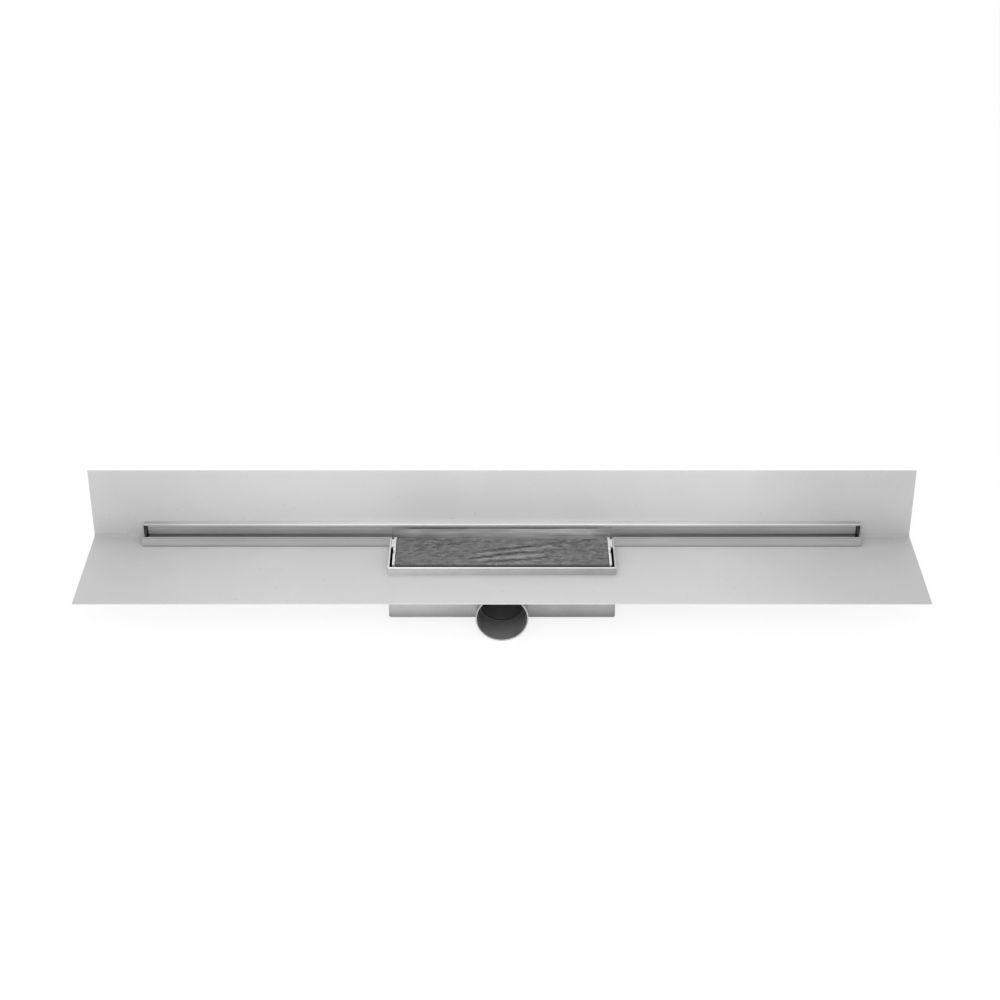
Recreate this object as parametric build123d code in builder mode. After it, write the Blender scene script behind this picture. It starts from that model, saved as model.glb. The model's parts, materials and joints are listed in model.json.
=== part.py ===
from build123d import *
import os

# Wall-type linear shower drain, in millimetres.
# Depth is measured from the front face of the wall flange towards the room, and
# height from the top face of the floor flange. X runs along the slot.

# Flange, folded from one sheet
wall_part_height = 73.0
flange_end_margin = 50.0
flange_front_margin = 50.1
flange_sheet_thickness = 1.0
flange_fold_radius = 3.0

# Slot channel
slot_length = 700.0
slot_width = 9.5
ledge_depth = 5.5
ledge_height = 16.0
lip_height = 8.0
lip_top_width = 1.0
lip_lean = 3.8
lip_toe = 0.8
lip_corner_radius = 2.5
channel_sheet_thickness = 1.0
channel_fold_radius = 1.5
ledge_fold_radius = 0.9
lip_fold_radius = 0.6
gutter_drop_at_end = 9.0
gutter_drop_at_box = 15.0
middle_edge_height = 3.4

# End caps of the channel
end_cap_thickness = 1.2
end_cap_inset = 2.0
end_cap_back_height = 14.5
end_cap_front_height = 7.0
end_cap_sag = 1.4

# Trap box, whose walls stand above the flange as the cover's frame
box_width = 217.4
box_front_depth = 72.4
box_drop = 48.0
box_sheet_thickness = 1.5
box_fold_radius = 1.3
rim_height = 7.5
hem_gap = 0.4
hem_length = 8.5
back_plate_lap = 1.4

# Outlet pipe
outlet_diameter = 50.0
outlet_wall = 1.2
outlet_reach = 32.0
outlet_axis_drop = 28.8
outlet_hole_radius = 23.0

# Sump pan under the box
sump_width = 44.0
sump_back_depth = 8.0
sump_sheet_thickness = 1.5
sump_fold_radius = 2.0

# Weirs that hold back the sealing water
weir_spacing = 60.0
weir_crest_drop = 18.0
weir_foot = 8.0
weir_sheet_thickness = 1.2
weir_fold_radius = 1.6

# Removable hood that dips into the sealing water
hood_width = 96.0
hood_top_drop = 10.5
hood_rim_drop = 42.0
hood_leg_width = 9.0
hood_sheet_thickness = 1.0
hood_fold_radius = 3.0
hood_end_gap = 2.2

# Rubber edge seals on the hood's two ends
seal_lip = 1.5
seal_grip = 2.2

# Handle on the hood and its rivets
handle_length = 70.0
handle_width = 12.0
handle_rise = 4.6
handle_foot = 9.0
handle_slope = 4.0
handle_sheet_thickness = 1.2
handle_fold_radius = 1.2
rivet_shank_radius = 1.6
rivet_head_radius = 2.9
rivet_head_height = 1.1
rivet_head_dome = 0.9
rivet_tail_radius = 2.4
rivet_tail_height = 0.7

# Perforated strainers over the side chambers
strainer_drop = 15.6
strainer_sheet_thickness = 0.8
strainer_fold_radius = 2.0
strainer_clearance = 1.5
strainer_hole_radius = 2.5
strainer_pitch = 9.0
strainer_border = 5.5

# Brackets that carry the tray
rest_sheet_thickness = 1.5
rest_fold_radius = 1.6
rest_reach = 12.0
rest_leg = 10.0
rest_front_gap = 3.0
rest_stop_height = 5.5
rest_stop_width = 6.0

# Cover tray and tile
tray_height = 11.5
tray_sheet_thickness = 1.5
tray_fold_radius = 1.8
tray_corner_radius = 1.0
tray_back_setback = 1.5
tray_front_setback = 0.5
tray_side_gap = 3.2
tray_front_gap = 3.0
tray_ear_start = 4.0
tray_ear_length = 15.0
tray_ear_bevel = 3.0
tray_ear_gap = 0.3
notch_width = 9.0
notch_depth = 4.5
tile_gap = 0.4
tile_recess = 0.3
tile_edge_radius = 0.7

# Places that follow from the sizes above
flange_length = slot_length + 2 * flange_end_margin
floor_part_depth = box_front_depth + flange_front_margin
outlet_radius = outlet_diameter / 2
lowest_drop = outlet_axis_drop + outlet_radius
floor_z = lowest_drop
wall_y = (floor_part_depth - flange_sheet_thickness) / 2
slot_half = slot_length / 2
channel_back = ledge_depth - channel_sheet_thickness
slot_front = ledge_depth + slot_width
channel_front = slot_front + channel_sheet_thickness
middle_edge_bottom = ledge_height - middle_edge_height
back_plate_height = middle_edge_bottom + back_plate_lap
box_half = box_width / 2
box_inner_half = box_half - box_sheet_thickness
box_back_depth = channel_back - box_sheet_thickness
box_inner_front = box_front_depth - box_sheet_thickness
box_floor_drop = box_drop - box_sheet_thickness
box_inner_radius = box_fold_radius - box_sheet_thickness / 2
hem_depth = 2 * box_sheet_thickness + hem_gap
sump_inner_half = sump_width / 2 - sump_sheet_thickness
hood_back = channel_back + hood_end_gap
hood_front = box_inner_front - hood_end_gap
tray_back = slot_front
tray_front = box_front_depth - hem_depth - tray_front_gap
tray_half = box_inner_half - tray_side_gap
tray_bottom_drop = tray_height - rim_height
sides = (("left", -1), ("right", 1))


def section_at(x):
    """Upright plane across the slot at x: depth to its right, height up, normal -X."""
    return Plane(origin=(x, wall_y, floor_z), x_dir=(0, -1, 0), z_dir=(-1, 0, 0))


def front_at(depth):
    """Upright plane along the slot at a depth: X to its right, height up, normal to the room."""
    return Plane(origin=(0, wall_y - depth, floor_z), x_dir=(1, 0, 0), z_dir=(0, -1, 0))


def plan_at(height):
    """Level plane at a height: X to its right, depth up, normal downwards."""
    return Plane(origin=(0, wall_y, floor_z + height), x_dir=(1, 0, 0), z_dir=(0, 0, -1))


def gutter_drop(x):
    """Drop of the gutter's underside at a distance x from the middle."""
    share = (slot_half - abs(x)) / (slot_half - box_inner_half)
    return gutter_drop_at_end + (gutter_drop_at_box - gutter_drop_at_end) * share


os.makedirs("parts", exist_ok=True)


# Wall flange: an angle folded from sheet, cut out along its corner for the slot
with BuildPart() as wall_flange:
    half_sheet = flange_sheet_thickness / 2
    with BuildSketch(section_at(0)):
        with BuildLine():
            FilletPolyline(
                (-half_sheet, wall_part_height),
                (-half_sheet, -half_sheet),
                (channel_front, -half_sheet),
                radius=flange_fold_radius + half_sheet,
            )
        trace(line_width=flange_sheet_thickness)
    extrude(amount=flange_length / 2, both=True)
    with BuildSketch(section_at(0)):
        with BuildLine():
            Polyline(
                (-2 * flange_sheet_thickness, ledge_height),
                (channel_front, ledge_height),
                (channel_front, -2 * flange_sheet_thickness),
                (-2 * flange_sheet_thickness, -2 * flange_sheet_thickness),
                close=True,
            )
        make_face()
    extrude(amount=slot_half, both=True, mode=Mode.SUBTRACT)

wall_flange.part.label = "wall_flange"
export_step(wall_flange.part, "parts/wall_flange.step")


# Floor flange: flat sheet, welded flush to the angle's foot and cut out for the box
with BuildPart() as floor_flange:
    with BuildSketch(plan_at(0)):
        with Locations((0, (channel_front + floor_part_depth) / 2)):
            Rectangle(flange_length, floor_part_depth - channel_front)
        with Locations((0, (channel_front + box_front_depth) / 2)):
            Rectangle(box_width, box_front_depth - channel_front, mode=Mode.SUBTRACT)
    extrude(amount=flange_sheet_thickness)

floor_flange.part.label = "floor_flange"
export_step(floor_flange.part, "parts/floor_flange.step")


# Slot channel: folded profiles whose gutters fall from the ends to the box
half_sheet = channel_sheet_thickness / 2
back_line = ledge_depth - half_sheet
front_line = slot_front + half_sheet
ledge_line = ledge_height - half_sheet
lip_line = lip_height - half_sheet
toe_start = front_line + lip_top_width + lip_lean
toe_end = toe_start + lip_toe
channel_radii = (
    ledge_fold_radius,
    channel_fold_radius,
    channel_fold_radius,
    lip_fold_radius,
    lip_fold_radius,
    lip_fold_radius,
)


def channel_line(drop):
    """Centre line of the folded profile where the gutter's underside lies at a drop."""
    gutter_line = half_sheet - drop
    return (
        (-flange_sheet_thickness, ledge_line),
        (back_line, ledge_line),
        (back_line, gutter_line),
        (front_line, gutter_line),
        (front_line, lip_line),
        (front_line + lip_top_width, lip_line),
        (toe_start, half_sheet),
        (toe_end, half_sheet),
    )


for side, sign in sides:
    with BuildPart() as channel:
        for x in (sign * box_inner_half, sign * slot_half):
            with BuildSketch(section_at(x)):
                with BuildLine():
                    FilletPolyline(*channel_line(gutter_drop(x)), radius=channel_radii)
                trace(line_width=channel_sheet_thickness)
        loft(ruled=True)
        # The frame's side walls take the place of the lip over their own thickness
        with BuildSketch(plan_at(lip_height)):
            with Locations((0, channel_front + lip_height)):
                Rectangle(box_width, 2 * lip_height)
        extrude(amount=lip_height, mode=Mode.SUBTRACT)
        # The lip's outer corner is rounded in plan
        with BuildSketch(plan_at(lip_height)):
            corner_x = slot_half - lip_corner_radius
            corner_depth = toe_end - lip_corner_radius
            with Locations(
                (sign * (corner_x + lip_corner_radius / 2), corner_depth + lip_corner_radius / 2)
            ):
                Rectangle(lip_corner_radius, lip_corner_radius)
            with Locations((sign * corner_x, corner_depth)):
                Circle(lip_corner_radius, mode=Mode.SUBTRACT)
        extrude(amount=lip_height, mode=Mode.SUBTRACT)

    channel.part.label = f"channel_{side}"
    export_step(channel.part, f"parts/channel_{side}.step")


# Over the box only the ledge runs through, between the two channels, with its edge turned down
with BuildPart() as channel_middle:
    with BuildSketch(section_at(0)):
        with BuildLine():
            FilletPolyline(
                (-flange_sheet_thickness, ledge_line),
                (back_line, ledge_line),
                (back_line, middle_edge_bottom),
                radius=ledge_fold_radius,
            )
        trace(line_width=channel_sheet_thickness)
    extrude(amount=box_inner_half, both=True)

channel_middle.part.label = "channel_middle"
export_step(channel_middle.part, "parts/channel_middle.step")


# End caps: plates inside the channel, a little in from its ends, dipping from ledge to lip
cap_outer = slot_half - end_cap_inset
cap_bottom = channel_sheet_thickness - gutter_drop(cap_outer)
cap_middle = (ledge_depth + slot_front) / 2
cap_middle_height = (end_cap_back_height + end_cap_front_height) / 2 - end_cap_sag
cap_corner_radius = channel_fold_radius - channel_sheet_thickness / 2

for side, sign in sides:
    with BuildPart() as end_cap:
        with BuildSketch(section_at(sign * cap_outer)):
            with BuildLine():
                Polyline(
                    (ledge_depth, end_cap_back_height),
                    (ledge_depth, cap_bottom),
                    (slot_front, cap_bottom),
                    (slot_front, end_cap_front_height),
                )
                ThreePointArc(
                    (slot_front, end_cap_front_height),
                    (cap_middle, cap_middle_height),
                    (ledge_depth, end_cap_back_height),
                )
            make_face()
        extrude(amount=sign * end_cap_thickness)
        fillet(end_cap.edges().filter_by(Axis.X).group_by(Axis.Z)[0], radius=cap_corner_radius)

    end_cap.part.label = f"end_cap_{side}"
    export_step(end_cap.part, f"parts/end_cap_{side}.step")


# Box shell: bottom and side walls folded from one sheet, notched behind for the gutters
with BuildPart() as box_shell:
    half_sheet = box_sheet_thickness / 2
    wall_line = box_half - half_sheet
    with BuildSketch(front_at(box_back_depth)):
        with BuildLine():
            FilletPolyline(
                (-wall_line, rim_height),
                (-wall_line, half_sheet - box_drop),
                (wall_line, half_sheet - box_drop),
                (wall_line, rim_height),
                radius=box_fold_radius,
            )
        trace(line_width=box_sheet_thickness)
    extrude(amount=box_front_depth - box_back_depth)
    with BuildSketch(section_at(0)):
        with BuildLine():
            Polyline(
                (box_back_depth, rim_height),
                (channel_front, rim_height),
                (channel_front, -gutter_drop_at_box),
                (box_back_depth, -gutter_drop_at_box),
                close=True,
            )
        make_face()
    extrude(amount=box_width, both=True, mode=Mode.SUBTRACT)
    opening_back = sump_back_depth + sump_sheet_thickness
    with BuildSketch(plan_at(-box_floor_drop)):
        with Locations((0, (opening_back + box_front_depth) / 2)):
            Rectangle(2 * sump_inner_half, box_front_depth - opening_back)
    extrude(amount=box_sheet_thickness, mode=Mode.SUBTRACT)

box_shell.part.label = "box_shell"
export_step(box_shell.part, "parts/box_shell.step")


# Front plate: hemmed at the top, with the outlet's hole and a tongue that closes the sump pan
with BuildPart() as box_front_plate:
    half_sheet = box_sheet_thickness / 2
    outer_line = box_front_depth - half_sheet
    inner_line = box_front_depth - hem_depth + half_sheet
    with BuildSketch(section_at(0)):
        with BuildLine():
            FilletPolyline(
                (outer_line, -box_floor_drop),
                (outer_line, rim_height - half_sheet),
                (inner_line, rim_height - half_sheet),
                (inner_line, rim_height - hem_length),
                radius=(outer_line - inner_line) / 2 - 0.01,
            )
        trace(line_width=box_sheet_thickness)
    extrude(amount=box_inner_half, both=True)
    lower_corners = box_front_plate.edges().filter_by(Axis.Y).group_by(Axis.Z)[0]
    fillet(lower_corners, radius=box_inner_radius)
    with BuildSketch(front_at(box_inner_front)):
        with Locations((0, -(box_drop + box_floor_drop) / 2)):
            Rectangle(2 * sump_inner_half, box_sheet_thickness)
        with Locations((0, -(box_drop + lowest_drop) / 2)):
            Rectangle(sump_width, lowest_drop - box_drop)
    extrude(amount=box_sheet_thickness)
    tongue_corners = box_front_plate.edges().filter_by(Axis.Y).group_by(Axis.Z)[0]
    fillet(tongue_corners, radius=sump_fold_radius)
    with BuildSketch(front_at(box_inner_front)):
        with Locations((0, -outlet_axis_drop)):
            Circle(outlet_hole_radius)
    extrude(amount=box_sheet_thickness, mode=Mode.SUBTRACT)

box_front_plate.part.label = "box_front_plate"
export_step(box_front_plate.part, "parts/box_front_plate.step")


# Back plate: lapped behind the ledge's turned-down edge
with BuildPart() as box_back_plate:
    with BuildSketch(front_at(box_back_depth)):
        with Locations((0, (back_plate_height - box_floor_drop) / 2)):
            Rectangle(2 * box_inner_half, back_plate_height + box_floor_drop)
    extrude(amount=box_sheet_thickness)
    lower_corners = box_back_plate.edges().filter_by(Axis.Y).group_by(Axis.Z)[0]
    fillet(lower_corners, radius=box_inner_radius)

box_back_plate.part.label = "box_back_plate"
export_step(box_back_plate.part, "parts/box_back_plate.step")


# Sump pan: a shallow pan under the bottom, open to the tongue, so that the pipe drains the box
with BuildPart() as sump_pan:
    with BuildSketch(plan_at(-box_drop)):
        with Locations((0, (sump_back_depth + box_inner_front) / 2)):
            Rectangle(sump_width, box_inner_front - sump_back_depth)
    extrude(amount=lowest_drop - box_drop)
    pan_bottom = sump_pan.faces().sort_by(Axis.Z)[0]
    pan_top = sump_pan.faces().sort_by(Axis.Z)[-1]
    pan_front = sump_pan.faces().sort_by(Axis.Y)[0]
    front_edge = pan_bottom.edges().sort_by(Axis.Y)[0]
    back_uprights = sump_pan.edges().filter_by(Axis.Z).group_by(Axis.Y)[-1]
    bottom_edges = pan_bottom.edges() - [front_edge]
    fillet(bottom_edges + back_uprights, radius=sump_fold_radius)
    pan_top = sump_pan.faces().sort_by(Axis.Z)[-1]
    pan_front = sump_pan.faces().sort_by(Axis.Y)[0]
    offset(amount=-sump_sheet_thickness, openings=[pan_top, pan_front])

sump_pan.part.label = "sump_pan"
export_step(sump_pan.part, "parts/sump_pan.step")


# Outlet pipe: a plain spigot standing on the front plate
with BuildPart() as outlet_pipe:
    with BuildSketch(front_at(box_front_depth)):
        with Locations((0, -outlet_axis_drop)):
            Circle(outlet_radius)
            Circle(outlet_radius - outlet_wall, mode=Mode.SUBTRACT)
    extrude(amount=outlet_reach)

outlet_pipe.part.label = "outlet_pipe"
export_step(outlet_pipe.part, "parts/outlet_pipe.step")


# Weirs: upright plates across the box, with a foot bent outwards along the bottom
for side, sign in sides:
    with BuildPart() as weir:
        half_sheet = weir_sheet_thickness / 2
        weir_line = weir_spacing / 2 + half_sheet
        with BuildSketch(front_at(channel_back)):
            with BuildLine():
                FilletPolyline(
                    (sign * weir_line, -weir_crest_drop),
                    (sign * weir_line, half_sheet - box_floor_drop),
                    (sign * (weir_line + weir_foot), half_sheet - box_floor_drop),
                    radius=weir_fold_radius,
                )
            trace(line_width=weir_sheet_thickness)
        extrude(amount=box_inner_front - channel_back)

    weir.part.label = f"weir_{side}"
    export_step(weir.part, f"parts/weir_{side}.step")


# Hood: an inverted U whose skirts dip into the water and stand on four legs
hood_line_half = (hood_width - hood_sheet_thickness) / 2
hood_top_line = -hood_top_drop - hood_sheet_thickness / 2
hood_line = (
    (-hood_line_half, -box_floor_drop),
    (-hood_line_half, hood_top_line),
    (hood_line_half, hood_top_line),
    (hood_line_half, -box_floor_drop),
)
hood_middle = (hood_back + hood_front) / 2
rivet_spots = [
    (sign * (handle_length / 2 - handle_foot / 2), hood_middle) for side, sign in sides
]

with BuildPart() as trap_hood:
    with BuildSketch(front_at(hood_back)):
        with BuildLine():
            FilletPolyline(*hood_line, radius=hood_fold_radius)
        trace(line_width=hood_sheet_thickness)
    extrude(amount=hood_front - hood_back)
    with BuildSketch(section_at(0)):
        with BuildLine():
            Polyline(
                (hood_back + hood_leg_width, -box_floor_drop),
                (hood_back + hood_leg_width, -hood_rim_drop),
                (hood_front - hood_leg_width, -hood_rim_drop),
                (hood_front - hood_leg_width, -box_floor_drop),
                close=True,
            )
        make_face()
    extrude(amount=hood_width, both=True, mode=Mode.SUBTRACT)
    with BuildSketch(plan_at(-hood_top_drop)):
        with Locations(*rivet_spots):
            Circle(rivet_shank_radius)
    extrude(amount=hood_sheet_thickness, mode=Mode.SUBTRACT)

trap_hood.part.label = "trap_hood"
export_step(trap_hood.part, "parts/trap_hood.step")


# Hood seals: rubber strips clipped over the hood's ends, bearing on the box's plates
for name, plate_depth, hood_end, toward in (
    ("front", box_inner_front, hood_front, -1),
    ("back", channel_back, hood_back, 1),
):
    with BuildPart() as hood_seal:
        with BuildSketch(front_at(plate_depth)):
            with BuildLine():
                FilletPolyline(*hood_line, radius=hood_fold_radius)
            trace(line_width=hood_sheet_thickness + 2 * seal_lip)
        extrude(amount=toward * (hood_end_gap + seal_grip))
        with BuildSketch(front_at(hood_end)):
            with BuildLine():
                FilletPolyline(*hood_line, radius=hood_fold_radius)
            trace(line_width=hood_sheet_thickness)
        extrude(amount=toward * seal_grip, mode=Mode.SUBTRACT)

    hood_seal.part.label = f"hood_seal_{name}"
    export_step(hood_seal.part, f"parts/hood_seal_{name}.step")


# Handle: a low folded bridge across the hood's top
with BuildPart() as hood_handle:
    half_sheet = handle_sheet_thickness / 2
    foot_line = half_sheet - hood_top_drop
    bridge_line = foot_line + handle_rise
    foot_end = handle_length / 2 - handle_foot
    bridge_end = foot_end - handle_slope
    with BuildSketch(front_at(hood_middle - handle_width / 2)):
        with BuildLine():
            FilletPolyline(
                (-handle_length / 2, foot_line),
                (-foot_end, foot_line),
                (-bridge_end, bridge_line),
                (bridge_end, bridge_line),
                (foot_end, foot_line),
                (handle_length / 2, foot_line),
                radius=handle_fold_radius,
            )
        trace(line_width=handle_sheet_thickness)
    extrude(amount=handle_width)
    with BuildSketch(plan_at(handle_sheet_thickness - hood_top_drop)):
        with Locations(*rivet_spots):
            Circle(rivet_shank_radius)
    extrude(amount=handle_sheet_thickness, mode=Mode.SUBTRACT)

hood_handle.part.label = "hood_handle"
export_step(hood_handle.part, "parts/hood_handle.step")


# Rivets: domed heads on the handle's feet, flat tails under the hood
with BuildPart() as handle_rivets:
    head_seat = handle_sheet_thickness - hood_top_drop
    tail_seat = -hood_top_drop - hood_sheet_thickness
    with BuildSketch(plan_at(head_seat + rivet_head_height)):
        with Locations(*rivet_spots):
            Circle(rivet_head_radius)
    extrude(amount=rivet_head_height)
    fillet(handle_rivets.edges().group_by(Axis.Z)[-1], radius=rivet_head_dome)
    with BuildSketch(plan_at(head_seat)):
        with Locations(*rivet_spots):
            Circle(rivet_shank_radius)
    extrude(amount=head_seat - tail_seat)
    with BuildSketch(plan_at(tail_seat)):
        with Locations(*rivet_spots):
            Circle(rivet_tail_radius)
    extrude(amount=rivet_tail_height)

handle_rivets.part.label = "handle_rivets"
export_step(handle_rivets.part, "parts/handle_rivets.step")


# Strainers: perforated bridges over the side chambers, standing on their front and back legs
strainer_near = hood_width / 2 + seal_lip + strainer_clearance
strainer_far = box_inner_half - strainer_clearance
strainer_back = channel_back + strainer_clearance
strainer_front = box_inner_front - strainer_clearance
strainer_hole_rows = int((strainer_front - strainer_back - 2 * strainer_border) / strainer_pitch)
strainer_hole_columns = int((strainer_far - strainer_near - 2 * strainer_border) / strainer_pitch) + 1

for side, sign in sides:
    with BuildPart() as hair_strainer:
        half_sheet = strainer_sheet_thickness / 2
        with BuildSketch(section_at(sign * strainer_far)):
            with BuildLine():
                FilletPolyline(
                    (strainer_back + half_sheet, -box_floor_drop),
                    (strainer_back + half_sheet, -strainer_drop - half_sheet),
                    (strainer_front - half_sheet, -strainer_drop - half_sheet),
                    (strainer_front - half_sheet, -box_floor_drop),
                    radius=strainer_fold_radius,
                )
            trace(line_width=strainer_sheet_thickness)
        extrude(amount=sign * (strainer_far - strainer_near))
        strainer_middle = (
            sign * (strainer_near + strainer_far) / 2,
            (strainer_back + strainer_front) / 2,
        )
        with BuildSketch(plan_at(-strainer_drop)):
            with Locations(strainer_middle):
                with GridLocations(
                    strainer_pitch, strainer_pitch, strainer_hole_columns, strainer_hole_rows
                ):
                    Circle(strainer_hole_radius)
        extrude(amount=strainer_sheet_thickness, mode=Mode.SUBTRACT)

    hair_strainer.part.label = f"hair_strainer_{side}"
    export_step(hair_strainer.part, f"parts/hair_strainer_{side}.step")


# Tray rests: angle brackets on the side walls, with a stop turned up behind the tray
for side, sign in sides:
    with BuildPart() as tray_rest:
        half_sheet = rest_sheet_thickness / 2
        rest_line = -tray_bottom_drop - half_sheet
        rest_end = box_inner_half - rest_reach
        rest_front = tray_front - rest_front_gap
        with BuildSketch(front_at(channel_front)):
            with BuildLine():
                FilletPolyline(
                    (sign * (box_inner_half - half_sheet), -tray_bottom_drop - rest_leg),
                    (sign * (box_inner_half - half_sheet), rest_line),
                    (sign * rest_end, rest_line),
                    radius=rest_fold_radius,
                )
            trace(line_width=rest_sheet_thickness)
        extrude(amount=rest_front - channel_front)
        stop_line = tray_back - half_sheet - 0.2
        with BuildSketch(section_at(sign * rest_end)):
            with BuildLine():
                FilletPolyline(
                    (channel_front + rest_sheet_thickness, rest_line),
                    (stop_line, rest_line),
                    (stop_line, rest_line + rest_stop_height),
                    radius=rest_sheet_thickness / 2 + 0.2,
                )
            trace(line_width=rest_sheet_thickness)
        extrude(amount=-sign * rest_stop_width)

    tray_rest.part.label = f"tray_rest_{side}"
    export_step(tray_rest.part, f"parts/tray_rest_{side}.step")


# Cover tray: a folded tray with centring ears and lifting notches at its ends
with BuildPart() as cover_tray:
    tray_middle = (tray_back + tray_front) / 2
    with BuildSketch(plan_at(rim_height)):
        with Locations((0, tray_middle)):
            Rectangle(2 * tray_half, tray_front - tray_back)
    extrude(amount=tray_height)
    fillet(cover_tray.edges().filter_by(Axis.Z), radius=tray_corner_radius)
    fillet(cover_tray.edges().group_by(Axis.Z)[0], radius=tray_fold_radius)
    with BuildSketch(plan_at(rim_height)):
        with Locations((0, tray_middle)):
            Rectangle(
                2 * (tray_half - tray_sheet_thickness),
                tray_front - tray_back - 2 * tray_sheet_thickness,
            )
    extrude(amount=tray_height - tray_sheet_thickness, mode=Mode.SUBTRACT)
    # The two long walls stop short of the tile's top, the one along the slot by more
    for wall_edge, toward, setback in (
        (tray_back, 1, tray_back_setback),
        (tray_front, -1, tray_front_setback),
    ):
        with BuildSketch(plan_at(rim_height)):
            with Locations((0, wall_edge + toward * tray_sheet_thickness / 2)):
                Rectangle(2 * (tray_half - tray_sheet_thickness), tray_sheet_thickness)
        extrude(amount=setback, mode=Mode.SUBTRACT)
    ear_start = tray_back + tray_ear_start
    ear_end = ear_start + tray_ear_length
    ear_tip = box_inner_half - tray_ear_gap
    for side, sign in sides:
        with BuildSketch(plan_at(rim_height)):
            with BuildLine():
                Polyline(
                    (sign * (tray_half - tray_sheet_thickness / 2), ear_start),
                    (sign * ear_tip, ear_start),
                    (sign * ear_tip, ear_end),
                    (sign * (tray_half - tray_sheet_thickness / 2), ear_end - tray_ear_bevel),
                    close=True,
                )
            make_face()
        extrude(amount=tray_sheet_thickness)
    with BuildSketch(section_at(0)):
        with BuildLine():
            Polyline(
                (tray_middle - notch_width / 2, rim_height),
                (tray_middle, rim_height - notch_depth),
                (tray_middle + notch_width / 2, rim_height),
                close=True,
            )
        make_face()
    extrude(amount=box_half, both=True, mode=Mode.SUBTRACT)

cover_tray.part.label = "cover_tray"
export_step(cover_tray.part, "parts/cover_tray.step")


# Tile: loose in the tray with a narrow joint all round
with BuildPart() as cover_tile:
    tile_thickness = tray_height - tray_sheet_thickness - tile_recess
    tile_inset = tray_sheet_thickness + tile_gap
    with BuildSketch(plan_at(rim_height - tile_recess)):
        with Locations((0, tray_middle)):
            Rectangle(2 * (tray_half - tile_inset), tray_front - tray_back - 2 * tile_inset)
    extrude(amount=tile_thickness)
    fillet(cover_tile.edges().filter_by(Axis.Z), radius=tile_edge_radius)
    fillet(cover_tile.edges().group_by(Axis.Z)[-1], radius=tile_edge_radius / 2)
    fillet(cover_tile.edges().group_by(Axis.Z)[0], radius=tile_edge_radius / 2)

cover_tile.part.label = "cover_tile"
export_step(cover_tile.part, "parts/cover_tile.step")
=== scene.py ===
import json
import math

import bmesh
import bpy
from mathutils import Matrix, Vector, noise


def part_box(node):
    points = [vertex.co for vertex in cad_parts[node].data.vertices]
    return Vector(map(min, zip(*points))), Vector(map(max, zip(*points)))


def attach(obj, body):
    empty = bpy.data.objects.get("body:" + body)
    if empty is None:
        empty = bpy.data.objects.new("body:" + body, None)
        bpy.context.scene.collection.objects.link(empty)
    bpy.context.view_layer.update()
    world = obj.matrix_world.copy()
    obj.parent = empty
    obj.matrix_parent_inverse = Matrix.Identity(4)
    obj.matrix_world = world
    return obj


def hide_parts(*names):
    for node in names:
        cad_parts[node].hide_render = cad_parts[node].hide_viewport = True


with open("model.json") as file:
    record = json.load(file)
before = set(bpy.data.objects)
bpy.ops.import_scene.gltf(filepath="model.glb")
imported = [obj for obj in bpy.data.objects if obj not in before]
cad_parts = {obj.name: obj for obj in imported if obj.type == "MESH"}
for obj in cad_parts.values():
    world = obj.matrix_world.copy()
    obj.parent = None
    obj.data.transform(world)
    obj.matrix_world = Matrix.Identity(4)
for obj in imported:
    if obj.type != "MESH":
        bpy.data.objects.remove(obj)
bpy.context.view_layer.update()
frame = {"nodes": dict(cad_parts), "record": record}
scene = bpy.context.scene

# Camera, from the photograph's own view: metres, degrees and millimetres
CAMERA_PLACE = (-0.0019, -1.6286, 1.0708)
CAMERA_PITCH = 30.03
CAMERA_LENS = 72.24
CAMERA_SENSOR = 36.0
CAMERA_NEAR = 0.05
CAMERA_FAR = 30

# Levels of the white room: even for matte surfaces, and the studio that metal mirrors
ROOM_FRONT = 0.98
ROOM_BACK = 0.72
ROOM_LOW_FRONT = 0.36
STUDIO_TOP = 1.15
STUDIO_FRONT = 0.15
STUDIO_SIDE_LOSS = 0.16

# Directions in the room, from -1 to 1 along each axis, between which a level changes
ROOM_DEPTH = (-0.8, 0.5)
STUDIO_DEPTH = (-0.9, 0.0)
STUDIO_HEIGHT = (0.95, 0.35)
STUDIO_SIDES = (0.05, 0.6)

# Key lamp, in watts and metres
KEY_WATTS = 7.0
KEY_SIZE = 0.7
KEY_PLACE = (-0.04, -0.92, 0.62)
KEY_TARGET = (0, 0, 0.05)

# Pale floor: its size and level in metres, and its shades as it lights, is seen and is mirrored
FLOOR_SIZE = 12.0
FLOOR_LEVEL = -0.0004
FLOOR_BOUNCE = 0.86
FLOOR_SHADE = 0.22
FLOOR_LIFT = 0.80
FLOOR_MIRRORED_SHADE = 0.62
FLOOR_MIRRORED_LIFT = 0.20

# Levels that the pieces and their finishes refer to, read from the frame in metres
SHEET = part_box("floor_flange")[1].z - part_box("floor_flange")[0].z
FLOOR_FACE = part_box("floor_flange")[1].z
WALL_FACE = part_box("wall_flange")[1].y - SHEET
SLOT_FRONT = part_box("floor_flange")[1].y + SHEET
SLOT_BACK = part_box("channel_middle")[0].y
SLOT_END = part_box("channel_right")[1].x
LEDGE_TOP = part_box("channel_middle")[1].z
CAP_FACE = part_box("end_cap_right")[0].x
PIPE_AXIS = (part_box("outlet_pipe")[0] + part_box("outlet_pipe")[1]) / 2
FRONT_PLATE_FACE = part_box("box_front_plate")[0].y
FRAME_INNER_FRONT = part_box("box_front_plate")[1].y
FRAME_INNER_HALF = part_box("box_front_plate")[1].x
BACK_PLATE_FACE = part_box("box_back_plate")[0].y
BACK_PLATE_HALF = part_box("box_back_plate")[1].x
TILE_MIDDLE = (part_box("cover_tile")[0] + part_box("cover_tile")[1]) / 2
TILE_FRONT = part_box("cover_tile")[0].y
TILE_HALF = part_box("cover_tile")[1].x

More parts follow.
